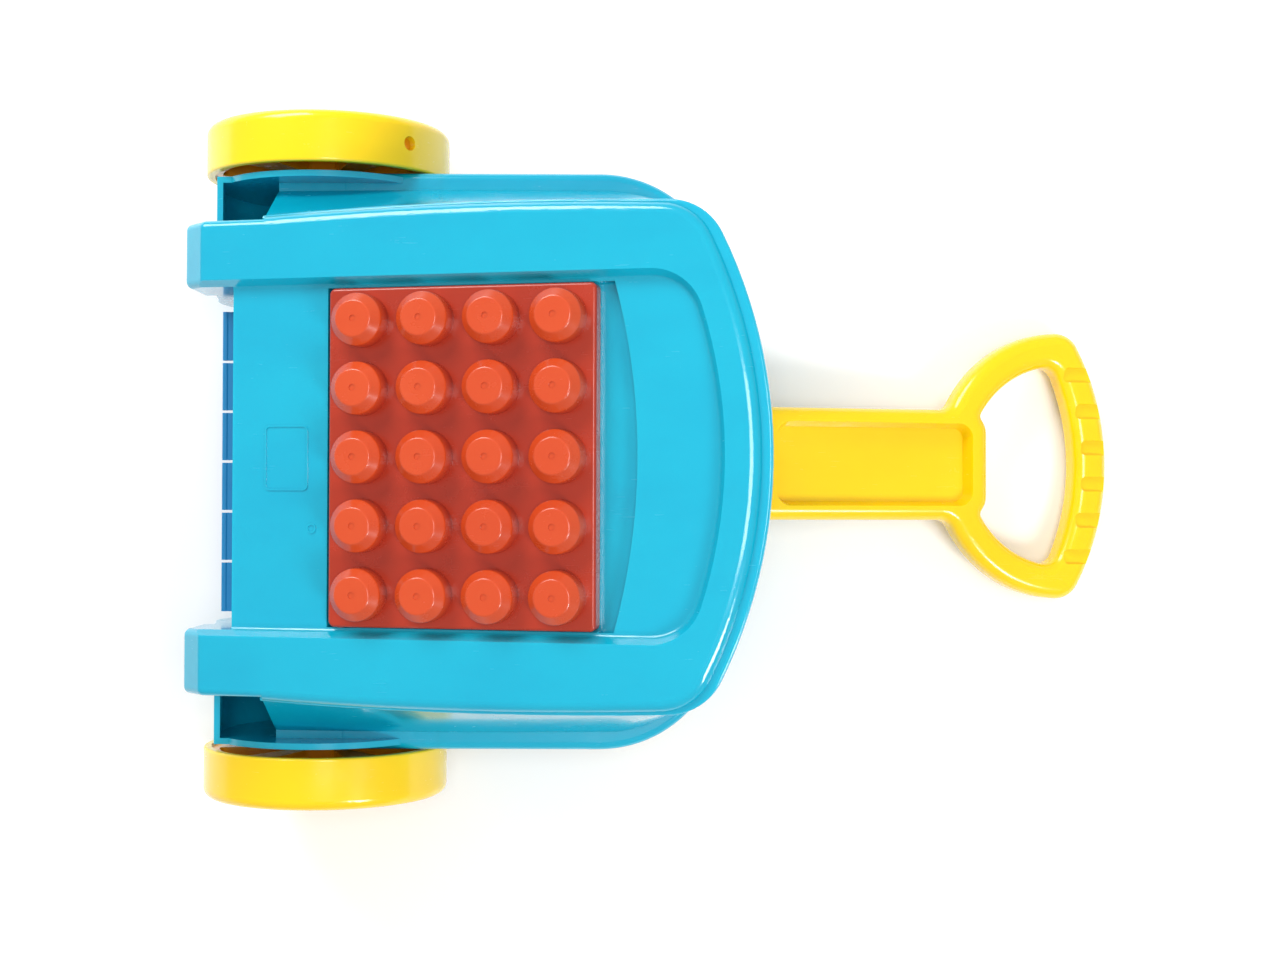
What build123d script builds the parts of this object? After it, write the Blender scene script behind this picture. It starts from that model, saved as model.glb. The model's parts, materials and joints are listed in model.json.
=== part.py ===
"""Push-along wagon for toddlers that scoops up large building blocks.

Two large front wheels turn a paddle roller, which sweeps blocks up a ramp into the bin.
A studded lid covers the bin, and a handle with a D-grip is hinged at the rear.
Frame: -X is the mouth, +X the handle, +Z up, origin on the floor under the middle of the
whole object with its handle down.  Units are millimetres.
"""
import os
from math import atan2, cos, degrees, hypot, radians, sin, sqrt, tan

from build123d import *

os.makedirs("parts", exist_ok=True)

# ---------------------------------------------------------------- driving dimensions
wall = 3.0                 # mouldings
running = 0.05             # radial clearance of shafts
snug = 0.02                # radial gap of fixed shafts
gap = 0.4                  # between pieces that move past each other

# lid and its studs, for large toddler bricks
stud_pitch = 32.0
studs_along = 4            # rows from front to rear
studs_across = 5
stud_base_r = 12.7
stud_top_r = 8.4
stud_height = 13.0
stud_bevel = 4.2           # height of the sloping edge of a stud
stud_edge_r = 1.2
stud_dimple_r = 1.6
stud_dimple_depth = 0.5
lid_proud = 3.0            # lid's top above the deck
lid_thickness = 8.0
lid_wall = 2.4
lid_gap = 0.8              # beside the lid
lid_end_gap = 1.8          # in front of it and behind it
lid_border = 1.0           # beyond the stud grid, front and rear
lid_corner_r = 3.0
hinge_inset = 4.6          # hinge line behind the lid's front edge
hinge_drop = 2.0           # and below the deck
hinge_r = 1.6
hinge_reach = 3.2          # of a hinge stub beyond the lid's side

# heights
wheel_r = 62.0             # front wheels
paddle_ground = 7.0        # paddles' tips above the floor
pod_ground = 6.0           # bottom of the side housings
joint_rise = 36.0          # joint of shell and tub above the front axle
lid_rise = 64.2            # deck at the middle of the lid, above the joint
tilt = 13.4                # slope of the deck, degrees
rail_rise = 6.0            # rail above deck
tub_floor = 30.0
rear_wheel_r = 22.0
pivot_drop = 38.0          # handle's pivot below the joint

# lengths
ramp_clear = 3.0           # ramp behind the paddles' tips
ramp_thick = 2.5
ramp_to_wall = 1.5
bin_length = 142.0         # cross wall to the tub's rear
lid_behind_wall = 17.3     # middle of the lid behind the cross wall
rail_overhang = 16.0       # rail's rear beyond the tub
ridge_inset = 6.0          # its inner edge inside the tub
pivot_reach = 13.0         # handle's pivot behind the tub
handle_length = 199.0      # pivot to the end of the grip, level with the floor
arm_lead = 2.0             # arms' tips in front of the housings
deck_lead = 33.0           # deck's front edge in front of the axle
pod_rake = 6.0             # slope of a pod's front wall
pod_rear = 19.0            # pod's rear wall in front of the axle
tub_front = 11.0           # fender band's front end, behind the axle
rear_axle_inset = 54.0     # rear axle in front of the tub's rear
flange_length = 30.0       # screw flange at the rear

# widths
arm_clearance = 2.0        # arms beside the stud grid
arm_width = 31.5
rail_front_out = 2.0       # rail's edge beyond the arms, at the ends and amidships
rail_mid_out = 5.0
shell_foot_out = 21.0
fender_out = 31.0
pod_out = 28.2
wheel_gap = 3.6            # housing to front wheel
wheel_width = 25.7
flange_width = 28.5
rear_wheel_inset = 34.5    # rear wheel's inner plane inside the tub's side
rear_wheel_width = 18.0
tub_corner_r = 62.0
tub_draft = 4.0            # degrees
band_edge_r = 4.0          # rounding of the fender band's top

# details of the shell
arm_slant = 10.0           # sloping tip of an arm
arm_lip = 1.0
arm_edge_r = 3.5
lip = 2.5                  # bead round the rail's outer edge
lip_drop = 4.0             # its top below the rail's
lip_thick = 3.0
lip_edge_r = 1.2
rail_edge_r = 5.0
rail_bow = 31.3            # bow of the rail's rear
rail_corner_r = 28.0
foot_bow = 20.0
foot_corner_r = 48.0
field_bow = 16.0           # bow of the sunken field's rear
field_corner_r = 22.0
field_draft = 28.0         # slope of the field's sides, degrees
field_foot_r = 2.5
crescent_start = 6.0       # finger scoop behind the rebate
crescent_bow = 11.0
badge_long = 22.0
badge_wide = 31.0
badge_line = 0.8
badge_raise = 0.5
badge_shift = 3.4          # its middle behind the middle of the apron
gate_r = 2.4               # small ring beside it
gate_inset = 8.0           # from the rebate

# roller, axles and wheels
axle_r = 4.0
boss_wall = 5.0            # round the front axle
boss_length = 7.0
paddle_count = 4
paddle_thick = 2.6
paddle_bead_r = 1.8
paddle_fingers = 6
finger_gap = 1.4
core_r = 14.0
core_wall = 3.0
disc_r = 26.0
disc_thick = 2.0
tread_wall = 4.0
tread_edge_r = 5.0
tread_hole_r = 3.6
tread_hole_y = 12.4        # from the wheel's inner plane
window_rim = 24.0          # outer wall of a wheel, from the tread to its window
spoke_count = 6
pocket_inner_r = 20.0
pocket_rim = 4.0
half_pocket = 20.0         # degrees
cap_crown = 1.9
rear_axle_r = 3.0

# handle
pin_r = 4.0                # handle's pin
bar_width = 59.0
bar_thick = 18.0
trough_half = 22.0         # trough along the top of the bar
trough_end = 124.5
trough_depth = 8.0
trough_slope = 17.0        # degrees
bar_end = 134.5            # end of the bar inside the grip's opening, from the pivot
bar_end_r = 13.0
ring_mid = 178.0           # middle of the D-shaped grip, from the pivot
ring_outer_r = 72.0
ring_inner_r = 54.0
grip_outer_r = 132.0       # bow of the grip's outer and inner sides
grip_inner_r = 120.0
grip_band = 18.9
grip_edge = 6.5            # rounding of the grip's section
notch_count = 6
notch_pitch = 19.7
notch_width = 8.0
notch_depth = 2.2
notch_start = 3.0          # from the grip's inner side
ear_thick = 5.0
ear_wall = 6.0             # round the pin

# screws
screw_r = 1.6
screw_head_r = 3.6
screw_head = 2.2
screw_length = 14.0
post_r = 5.0
post_inset = 20.5          # from the tub's side

# ---------------------------------------------------------------- derived places
paddle_r = wheel_r - paddle_ground
pod_r = wheel_r - pod_ground
joint_height = wheel_r + joint_rise
lid_centre_height = joint_height + lid_rise
pivot_height = joint_height - pivot_drop
ramp_r = paddle_r + ramp_clear
bin_front = ramp_r + ramp_thick + ramp_to_wall
lid_centre_from_axle = bin_front + lid_behind_wall
tub_rear = bin_front + bin_length
flange_rear = tub_rear - flange_length
rear_axle_from_axle = tub_rear - rear_axle_inset
pivot_from_axle = tub_rear + pivot_reach
handle_reach = pivot_from_axle + handle_length
arm_front_from_axle = pod_r + arm_lead
pod_front_top = pod_r - pod_rake

arm_inner_y = studs_across * stud_pitch / 2 + arm_clearance
arm_outer_y = arm_inner_y + arm_width
rail_front_y = arm_outer_y + rail_front_out
rail_mid_y = arm_outer_y + rail_mid_out
shell_foot_y = arm_outer_y + shell_foot_out
tub_half_width = arm_outer_y + fender_out
pod_outer_y = arm_outer_y + pod_out
wheel_inner_y = pod_outer_y + wheel_gap
wheel_outer_y = wheel_inner_y + wheel_width
flange_inner_y = tub_half_width - flange_width
rear_wheel_y = tub_half_width - rear_wheel_inset

length = wheel_r + handle_reach
axle_x = wheel_r - length / 2
axle_z = wheel_r
slope = radians(tilt)
lid_centre_x = axle_x + lid_centre_from_axle
deck_plane = Plane(
    origin=(lid_centre_x, 0, lid_centre_height),
    x_dir=(cos(slope), 0, sin(slope)),
    z_dir=(-sin(slope), 0, cos(slope)),
)
lid_length = studs_along * stud_pitch + 2 * lid_border
lid_width = studs_across * stud_pitch - lid_gap
rebate_length = lid_length + 2 * lid_end_gap
rebate_width = lid_width + 2 * lid_gap


def along_deck(from_axle, height=0.0):
    """Distance along the sloping deck of a point a given way behind the axle."""
    return (from_axle - lid_centre_from_axle + height * sin(slope)) / cos(slope)


def save(piece, name):
    piece.label = name
    export_step(piece, f"parts/{name}.step")


def other_side(piece):
    return mirror(piece, about=Plane.XZ)


def facing(part, direction):
    """Flat faces of a part that look along a direction."""
    flat = part.faces().filter_by(GeomType.PLANE)
    return flat.filter_by(lambda face: face.normal_at().dot(direction) > 0.999)


def dome(r, low, rise):
    """Arc of a dome about the line x = 0, from its rim to its top."""
    ball = (r**2 + rise**2) / (2 * rise)
    middle = low + rise - ball + (ball**2 - r**2 / 4) ** 0.5
    return ThreePointArc((r, low), (r / 2, middle), (0, low + rise))


# ---------------------------------------------------------------- shell outlines
rail_rear = along_deck(tub_rear + rail_overhang, rail_rise)
rail_corner = rail_rear - rail_bow
flare_front = along_deck(-pod_rear, rail_rise)
ridge_rear = along_deck(tub_rear - ridge_inset)
ridge_half = arm_inner_y - 0.5
field_corner = ridge_rear - field_bow
sheet_half = ridge_half + wall
sheet_corner = ridge_rear - 4 * wall


def rail_outline(inset):
    """Outer edge of the U-shaped rail in the plane of the deck, closed across its front."""
    side = (rail_front_y - inset, rail_mid_y - inset)
    corner = rail_corner - inset
    with BuildSketch(mode=Mode.PRIVATE) as outline:
        with BuildLine():
            ThreePointArc((flare_front + inset, side[0]), (0, side[1]), (corner, side[0]))
            ThreePointArc((corner, side[0]), (rail_rear - inset, 0), (corner, -side[0]))
            ThreePointArc((corner, -side[0]), (0, -side[1]), (flare_front + inset, -side[0]))
            Line((flare_front + inset, -side[0]), (flare_front + inset, side[0]))
        make_face()
        fillet(outline.vertices().group_by(Axis.X)[-1], radius=rail_corner_r - inset)
    return outline.sketch


def foot_outline(inset):
    """The shell's foot, on the tub's flange."""
    half = shell_foot_y - inset
    front = axle_x - pod_rear + inset
    rear = axle_x + tub_rear - inset
    corner = rear - foot_bow
    with BuildSketch(mode=Mode.PRIVATE) as outline:
        with BuildLine():
            ThreePointArc((front, half), ((front + corner) / 2, half + 0.8), (corner, half))
            ThreePointArc((corner, half), (rear, 0), (corner, -half))
            ThreePointArc((corner, -half), ((front + corner) / 2, -half - 0.8), (front, -half))
            Line((front, -half), (front, half))
        make_face()
        fillet(outline.vertices().group_by(Axis.X)[-1], radius=foot_corner_r - inset)
    return outline.sketch


# ---------------------------------------------------------------- upper shell
arm_front = axle_x - arm_front_from_axle
arm_mid_y = (arm_inner_y + arm_outer_y) / 2
deck_front = along_deck(-deck_lead)
mouth_reach = 40 - deck_front - rebate_length / 2 - 2 * wall
crescent_end = rebate_length / 2 + crescent_start
crescent_mid = crescent_end + crescent_bow
hinge_s = hinge_inset - lid_length / 2
badge_s = (deck_front - rebate_length / 2) / 2 + badge_shift
post_y = tub_half_width - post_inset
post_places = [
    (axle_x + bin_front + 16.0, post_y),
    (axle_x + tub_rear - 56.0, post_y),
    (axle_x + tub_rear - 18.0, post_y / 2),
]

with BuildPart() as flare_hollow:
    with BuildSketch(deck_plane.offset(rail_rise - wall)):
        add(rail_outline(lip + wall))
    with BuildSketch(Plane.XY.offset(joint_height)):
        add(foot_outline(wall))
    loft(ruled=True)

arm_top = deck_plane.offset(rail_rise)
arm_tip = arm_top.from_local_coords(Vector(along_deck(-arm_front_from_axle, rail_rise), 0, 0)).Z
arm_root = arm_top.from_local_coords(Vector(along_deck(0.0, rail_rise), 0, 0)).Z


def arm(side, inset):
    """One arm that reaches forward over a pod, or the space inside it."""
    with BuildPart(mode=Mode.PRIVATE) as beam:
        with BuildSketch(Plane.XZ.offset(-side * arm_mid_y)):
            Polygon(
                (arm_front + inset, joint_height),
                (axle_x, joint_height),
                (axle_x, arm_root - inset),
                (arm_front + arm_slant + inset, arm_tip + arm_slant * tan(slope) - inset),
                (arm_front + inset, arm_tip - arm_slant + arm_lip - inset / 2),
                align=None,
            )
        extrude(amount=arm_width / 2 - inset, both=True)
        if inset == 0:
            tip = beam.edges().filter_by(lambda edge: edge.center().X < axle_x - 1)
            fillet(tip.filter_by(lambda edge: edge.center().Z > joint_height + 1), radius=arm_edge_r)
    return beam.part


with BuildPart() as field_cut:
    with BuildSketch(deck_plane) as field:
        with BuildLine():
            ThreePointArc((field_corner, ridge_half), (ridge_rear, 0), (field_corner, -ridge_half))
            Line((field_corner, -ridge_half), (deck_front - 60, -ridge_half))
            Line((deck_front - 60, -ridge_half), (deck_front - 60, ridge_half))
            Line((deck_front - 60, ridge_half), (field_corner, ridge_half))
        make_face()
        fillet(field.vertices().group_by(Axis.X)[-1], radius=field_corner_r)
    extrude(amount=rail_rise + 4.0, taper=-field_draft)
    fillet(facing(field_cut, -deck_plane.z_dir).edges(), radius=field_foot_r)

with BuildPart() as rail_lip:
    with BuildSketch(deck_plane.offset(rail_rise - lip_drop)):
        add(rail_outline(0))
    extrude(amount=-lip_thick)
    rims = facing(rail_lip, deck_plane.z_dir).edges()
    fillet(rims.filter_by(lambda edge: edge.center().X > axle_x - 15), radius=lip_edge_r)

with BuildPart() as upper_shell:
    with BuildSketch(deck_plane.offset(rail_rise)):
        add(rail_outline(lip))
    with BuildSketch(Plane.XY.offset(joint_height)):
        add(foot_outline(0))
    loft(ruled=True)
    rim = facing(upper_shell, deck_plane.z_dir).edges()
    fillet(rim.filter_by(lambda edge: edge.center().X > axle_x - 15), radius=rail_edge_r)
    for side in (1, -1):
        add(arm(side, 0))
    add(rail_lip.part)
    # front apron of the deck, between the arms
    with BuildSketch(deck_plane.offset(rail_rise)):
        with Locations((deck_front, 0)):
            Rectangle(along_deck(0.0) - deck_front, 2 * arm_inner_y + 2, align=(Align.MIN, Align.CENTER))
    extrude(amount=-rail_rise - wall)
    add(flare_hollow.part, mode=Mode.SUBTRACT)
    for side in (1, -1):
        add(arm(side, wall), mode=Mode.SUBTRACT)
    # deck sheet under the sunken field
    with BuildSketch(deck_plane.offset(rail_rise)):
        with BuildLine():
            ThreePointArc((sheet_corner, sheet_half), (ridge_rear + wall, 0), (sheet_corner, -sheet_half))
            Line((sheet_corner, -sheet_half), (deck_front, -sheet_half))
            Line((deck_front, -sheet_half), (deck_front, sheet_half))
            Line((deck_front, sheet_half), (sheet_corner, sheet_half))
        make_face()
    extrude(amount=-rail_rise - 3 * wall)
    # the mouth below the deck, over the roller
    with BuildSketch(deck_plane.offset(-wall)):
        with Locations((deck_front - 40, 0)):
            Rectangle(mouth_reach, 2 * arm_inner_y, align=(Align.MIN, Align.CENTER))
    extrude(amount=-60, mode=Mode.SUBTRACT)
    # sunken field of the deck
    add(field_cut.part, mode=Mode.SUBTRACT)
    # rebate that the lid lies in, its opening, and the finger scoop behind the lid
    with BuildSketch(deck_plane):
        RectangleRounded(rebate_length, rebate_width, lid_corner_r + lid_gap)
    extrude(amount=lid_proud - lid_thickness - 0.3, mode=Mode.SUBTRACT)
    with BuildSketch(deck_plane):
        with Locations((-lid_gap, 0)):
            Rectangle(rebate_length - 2 * wall - 1, rebate_width - 4 * wall)
        with Locations((-rebate_length / 2 + 6.5, 0)):
            Rectangle(13.0, rebate_width)
    extrude(amount=-12 * wall, mode=Mode.SUBTRACT)
    with BuildSketch(deck_plane):
        with BuildLine():
            ThreePointArc((crescent_end, ridge_half - 1), (crescent_mid, 0), (crescent_end, -ridge_half + 1))
            Line((crescent_end, -ridge_half + 1), (rebate_length / 2 - 1, -ridge_half + 1))
            Line((rebate_length / 2 - 1, -ridge_half + 1), (rebate_length / 2 - 1, ridge_half - 1))
            Line((rebate_length / 2 - 1, ridge_half - 1), (crescent_end, ridge_half - 1))
        make_face()
    extrude(amount=-2 * wall, mode=Mode.SUBTRACT)
    # blank badge on the apron
    with BuildSketch(deck_plane):
        with Locations((badge_s, 0)):
            RectangleRounded(badge_long, badge_wide, 2.5)
            inner_size = (badge_long - 2 * badge_line, badge_wide - 2 * badge_line)
            RectangleRounded(*inner_size, 1.8, mode=Mode.SUBTRACT)
        with Locations((-rebate_length / 2 - gate_inset, -badge_wide - gate_r)):
            Circle(gate_r)
            Circle(gate_r - badge_line, mode=Mode.SUBTRACT)
    extrude(amount=badge_raise)
    # holes for the lid's hinge stubs
    hinge_at = deck_plane.from_local_coords(Vector(hinge_s, 0, -hinge_drop))
    with BuildSketch(Plane.XZ.offset(0)):
        with Locations((hinge_at.X, hinge_at.Z)):
            Circle(hinge_r + running)
    extrude(amount=lid_width / 2 + hinge_reach + gap, both=True, mode=Mode.SUBTRACT)
    # posts for the screws, standing on the tub's flange
    for x, y in post_places:
        for side in (1, -1):
            with BuildSketch(Plane.XY.offset(joint_height)) as foot:
                with Locations((x, side * y)):
                    Circle(post_r)
            deck_above = lid_centre_height + (x - lid_centre_x) * tan(slope)
            post = extrude(foot.sketch, amount=deck_above - wall - joint_height, mode=Mode.PRIVATE)
            add(post & flare_hollow.part)
            with BuildSketch(Plane.XY.offset(joint_height)):
                with Locations((x, side * y)):
                    Circle(screw_r + snug)
            extrude(amount=screw_length, mode=Mode.SUBTRACT)
save(upper_shell.part, "upper_shell")

# ---------------------------------------------------------------- outlines of the lower body
cross_wall_x = axle_x + bin_front
tub_rear_x = axle_x + tub_rear
pod_bottom = axle_z - pod_r
cheek_y = arm_inner_y + wall
rear_axle_x = axle_x + rear_axle_from_axle
well_half = rear_wheel_r + 4.0
well_top = 2 * rear_wheel_r + 5.0
well_inner_y = rear_wheel_y - 3.0
bearing_y = rear_wheel_y - 13.0
boss_r = axle_r + boss_wall
pivot_x = axle_x + pivot_from_axle
ear_inner_y = bar_width / 2 + gap
ear_outer_y = ear_inner_y + ear_thick
pin_half = ear_outer_y + 1.8


def tub_outline(front, inset):
    """Tub seen from above, square at the front and round at the rear corners."""
    rear = tub_rear_x - inset
    with BuildSketch(mode=Mode.PRIVATE) as outline:
        with Locations(((front + rear) / 2, 0)):
            Rectangle(rear - front, 2 * (tub_half_width - inset))
        fillet(outline.vertices().group_by(Axis.X)[-1], radius=tub_corner_r - inset)
    return outline.sketch


def tapered_block(front, inset, high, depth, edge_r=0.0):
    """Block inside the tub's outline that narrows downwards from a height."""
    with BuildPart(mode=Mode.PRIVATE) as block:
        with BuildSketch(Plane.XY.offset(high)):
            add(tub_outline(front, inset))
        extrude(amount=-depth, taper=tub_draft)
        if edge_r:
            fillet(block.faces().sort_by(Axis.Z)[-1].edges(), radius=edge_r)
    return block.part


def space(x, y, z):
    """Box between pairs of places along the three axes."""
    size = (x[1] - x[0], y[1] - y[0], z[1] - z[0])
    middle = ((x[0] + x[1]) / 2, (y[0] + y[1]) / 2, (z[0] + z[1]) / 2)
    return Box(*size, mode=Mode.PRIVATE).moved(Location(middle))


def pod_side(inset):
    """Side view of a pod: round below the axle, upright in front, running back to the bin."""
    with BuildSketch(Plane.XZ, mode=Mode.PRIVATE) as outline:
        with Locations((axle_x, axle_z)):
            Circle(pod_r - inset)
        Polygon(
            (axle_x - pod_r + inset, axle_z),
            (axle_x, pod_bottom + inset),
            (axle_x + 30, pod_bottom + inset + 2),
            (cross_wall_x, tub_floor + inset),
            (cross_wall_x, joint_height),
            (axle_x - pod_front_top + inset, joint_height),
            align=None,
        )
        with Locations((axle_x, joint_height / 2)):
            Rectangle(4 * pod_r, joint_height, mode=Mode.INTERSECT)
    return outline.sketch


# ---------------------------------------------------------------- side housings
def side_housing():
    """Pod, bearings and fender beside the mouth: an open pod in front, a box open downwards behind."""
    rear = cross_wall_x
    band_front = axle_x + tub_front
    plate_inner = pod_outer_y - wall
    tall = (-joint_height, 2 * joint_height)
    band = tapered_block(band_front, 0, joint_height, joint_height - tub_floor, band_edge_r)
    band_space = tapered_block(band_front + wall, wall, joint_height - wall, joint_height - tub_floor)
    with BuildPart(mode=Mode.PRIVATE) as housing:
        with BuildSketch(Plane.XZ.offset(-arm_inner_y)):
            add(pod_side(0))
        extrude(amount=arm_inner_y - pod_outer_y)
        add(space((band_front + wall, rear), (cheek_y, pod_outer_y + 1), tall), mode=Mode.SUBTRACT)
        add(band & space((band_front, rear), (arm_inner_y, 2 * pod_outer_y), tall))
        hollow = band_space & space((band_front, rear - wall), (cheek_y, 2 * pod_outer_y), tall)
        add(hollow, mode=Mode.SUBTRACT)
        # pod, open at the top, and the space behind its rear wall, open at the bottom
        with BuildSketch(Plane.XZ.offset(-cheek_y)):
            add(pod_side(wall))
            with Locations((axle_x - pod_rear, 0)):
                Rectangle(2 * pod_r, 4 * pod_r, align=(Align.MAX, Align.CENTER), mode=Mode.INTERSECT)
        extrude(amount=cheek_y - plate_inner, mode=Mode.SUBTRACT)
        behind = (axle_x - pod_rear + wall, band_front + 3 * wall)
        add(space(behind, (cheek_y, plate_inner), (-1, joint_height - wall)), mode=Mode.SUBTRACT)
        # round side plate and the bosses that carry the axle
        with BuildSketch(Plane.XZ.offset(-plate_inner)):
            with Locations((axle_x, axle_z)):
                Circle(pod_r)
        extrude(amount=-wall)
        for boss_y in (cheek_y, plate_inner - boss_length):
            with BuildSketch(Plane.XZ.offset(-boss_y)):
                with Locations((axle_x, axle_z)):
                    Circle(boss_r)
            extrude(amount=-boss_length)
        with BuildSketch(Plane.XZ.offset(-arm_inner_y + 1)):
            with Locations((axle_x, axle_z)):
                Circle(axle_r + running)
        extrude(amount=arm_inner_y - tub_half_width - 2, mode=Mode.SUBTRACT)
    return housing.part


save(side_housing(), "side_housing_left")
save(other_side(side_housing()), "side_housing_right")

# ---------------------------------------------------------------- lower tub
with BuildPart() as bin_space:
    add(tapered_block(cross_wall_x - wall, wall, joint_height - wall, joint_height - tub_floor - 2 * wall))
    before_wall = space((axle_x, cross_wall_x + wall), (-pod_r * 4, pod_r * 4), (0, 2 * joint_height))
    add(before_wall, mode=Mode.SUBTRACT)
    # linings of the rear wheels' wells
    for side in (1, -1):
        with BuildSketch(Plane.XY.offset(tub_floor)):
            with Locations((rear_axle_x, side * (well_inner_y + 30))):
                Rectangle(2 * (well_half + wall), 60 + 2 * wall)
        extrude(amount=well_top + wall - tub_floor, mode=Mode.SUBTRACT)

with BuildPart() as lower_tub:
    add(tapered_block(cross_wall_x - 4 * wall, 0, joint_height, joint_height - tub_floor, band_edge_r))
    add(space((axle_x, cross_wall_x), (-pod_r * 4, pod_r * 4), (0, 2 * joint_height)), mode=Mode.SUBTRACT)
    # bin, with the screw flange left round its top
    add(bin_space.part, mode=Mode.SUBTRACT)
    with BuildSketch(Plane.XY.offset(joint_height - wall - 1)):
        with Locations((cross_wall_x - 5, 0)):
            Rectangle(flange_rear - bin_front + 5, 2 * flange_inner_y, align=(Align.MIN, Align.CENTER))
    extrude(amount=wall + 2, mode=Mode.SUBTRACT)
    # step from the ramp into the bin
    with BuildSketch(Plane.XY.offset(axle_z)):
        with Locations((cross_wall_x, 0)):
            Rectangle(4 * wall, 2 * arm_inner_y)
    extrude(amount=joint_height, mode=Mode.SUBTRACT)
    # wells for the rear wheels
    for side in (1, -1):
        with BuildSketch(Plane.XY.offset(tub_floor - 1)):
            with Locations((rear_axle_x, side * (well_inner_y + 30))):
                Rectangle(2 * well_half, 60)
        extrude(amount=well_top - tub_floor + 1, mode=Mode.SUBTRACT)
    # bearing blocks of the rear axle, under the floor
    with BuildSketch(Plane.XZ) as block:
        with Locations((rear_axle_x, rear_wheel_r)):
            Circle(rear_axle_r + 4.0)
        with Locations((rear_axle_x, (rear_wheel_r + tub_floor) / 2 + 1)):
            Rectangle(2 * rear_axle_r + 8.0, tub_floor - rear_wheel_r + 2)
    extrude(amount=bearing_y + 6, both=True)
    with BuildSketch(Plane.XZ):
        with Locations((rear_axle_x, rear_wheel_r - 1)):
            Rectangle(30, 2 * (tub_floor - rear_wheel_r) + 2)
    extrude(amount=bearing_y - 6, both=True, mode=Mode.SUBTRACT)
    with BuildSketch(Plane.XZ):
        with Locations((rear_axle_x, rear_wheel_r)):
            Circle(rear_axle_r + running)
    extrude(amount=bearing_y + 8, both=True, mode=Mode.SUBTRACT)
    # ears that carry the handle's pin
    for side in (1, -1):
        with BuildSketch(Plane.XZ.offset(-side * (ear_inner_y + ear_thick / 2))):
            with Locations((pivot_x, pivot_height)):
                Circle(pin_r + ear_wall)
            Polygon(
                (tub_rear_x - 5.0, pivot_height + 22),
                (pivot_x + 1, pivot_height + pin_r + ear_wall),
                (pivot_x + 1, pivot_height - pin_r - ear_wall),
                (tub_rear_x - 5.0, pivot_height - 20),
                align=None,
            )
            with Locations((pivot_x, pivot_height)):
                Circle(pin_r + snug, mode=Mode.SUBTRACT)
        extrude(amount=ear_thick / 2, both=True)
    # screw holes through the flange
    for x, y in post_places:
        for side in (1, -1):
            with BuildSketch(Plane.XY.offset(joint_height - wall - 1)):
                with Locations((x, side * y)):
                    Circle(screw_r + gap)
            extrude(amount=wall + 2, mode=Mode.SUBTRACT)
save(lower_tub.part, "lower_tub")

# ---------------------------------------------------------------- scoop ramp
ramp_half = arm_inner_y - gap / 2

with BuildPart() as scoop_ramp:
    with BuildSketch(Plane.XZ):
        with Locations((axle_x, axle_z)):
            Circle(ramp_r + ramp_thick)
            Circle(ramp_r, mode=Mode.SUBTRACT)
        with Locations((axle_x - 2, axle_z)):
            Rectangle(2 * ramp_r, 2 * ramp_r, align=(Align.MIN, Align.MAX), mode=Mode.INTERSECT)
        with Locations((axle_x + ramp_r, axle_z)):
            Rectangle(bin_front + wall - ramp_r, ramp_thick, align=(Align.MIN, Align.MIN))
    extrude(amount=ramp_half, both=True)
    # ribs under the ramp
    with BuildSketch(Plane.XZ) as rib:
        with Locations((axle_x + 24, 10)):
            Rectangle(bin_front - 24, axle_z - 14, align=(Align.MIN, Align.MIN))
        with Locations((axle_x, axle_z)):
            Circle(ramp_r + ramp_thick / 2, mode=Mode.SUBTRACT)
    for y in (-ramp_half + wall, 0, ramp_half - wall):
        add(extrude(rib.sketch.moved(Location((0, y, 0))), amount=wall / 2, both=True, mode=Mode.PRIVATE))
save(scoop_ramp.part, "scoop_ramp")

# ---------------------------------------------------------------- front axle, wheels and hubs
hub_r = wheel_r - tread_wall - snug
boss_end_y = wheel_outer_y - 4.0
wheel_window_r = wheel_r - window_rim
pocket_outer_r = hub_r - pocket_rim
lean = tan(radians(half_pocket))
near = pocket_inner_r * cos(radians(half_pocket))
far = 2 * pocket_outer_r

with BuildPart() as front_axle:
    with BuildSketch(Plane.XZ):
        with Locations((axle_x, axle_z)):
            Circle(axle_r)
    extrude(amount=boss_end_y, both=True)
    chamfer(front_axle.edges(), length=0.8)
save(front_axle.part, "front_axle")


def front_wheel(hole_angle):
    """Hollow wheel with its tread, an outer wall with a window, and one hole in the tread."""
    with BuildPart(mode=Mode.PRIVATE) as wheel:
        with BuildSketch(Plane.XY) as section:
            with Locations((wheel_r - tread_wall, wheel_inner_y)):
                Rectangle(tread_wall, wheel_width, align=(Align.MIN, Align.MIN))
            with Locations((wheel_window_r, wheel_outer_y - tread_wall)):
                Rectangle(wheel_r - wheel_window_r, tread_wall, align=(Align.MIN, Align.MIN))
            fillet(section.vertices().sort_by(lambda v: -v.X - v.Y)[0], radius=tread_edge_r)
            fillet(section.vertices().sort_by(lambda v: v.Y - v.X)[0], radius=1.2)
            fillet(section.vertices().group_by(Axis.X)[0], radius=1.2)
        revolve(axis=Axis.Y)
        with BuildSketch(Plane.XY.offset(wheel_r - 2 * tread_wall)):
            with Locations((0, wheel_inner_y + tread_hole_y)):
                Circle(tread_hole_r)
        extrude(amount=3 * tread_wall, mode=Mode.SUBTRACT)
    turned = wheel.part.rotate(Axis.Y, hole_angle)
    return turned.moved(Location((axle_x, 0, axle_z)))


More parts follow.
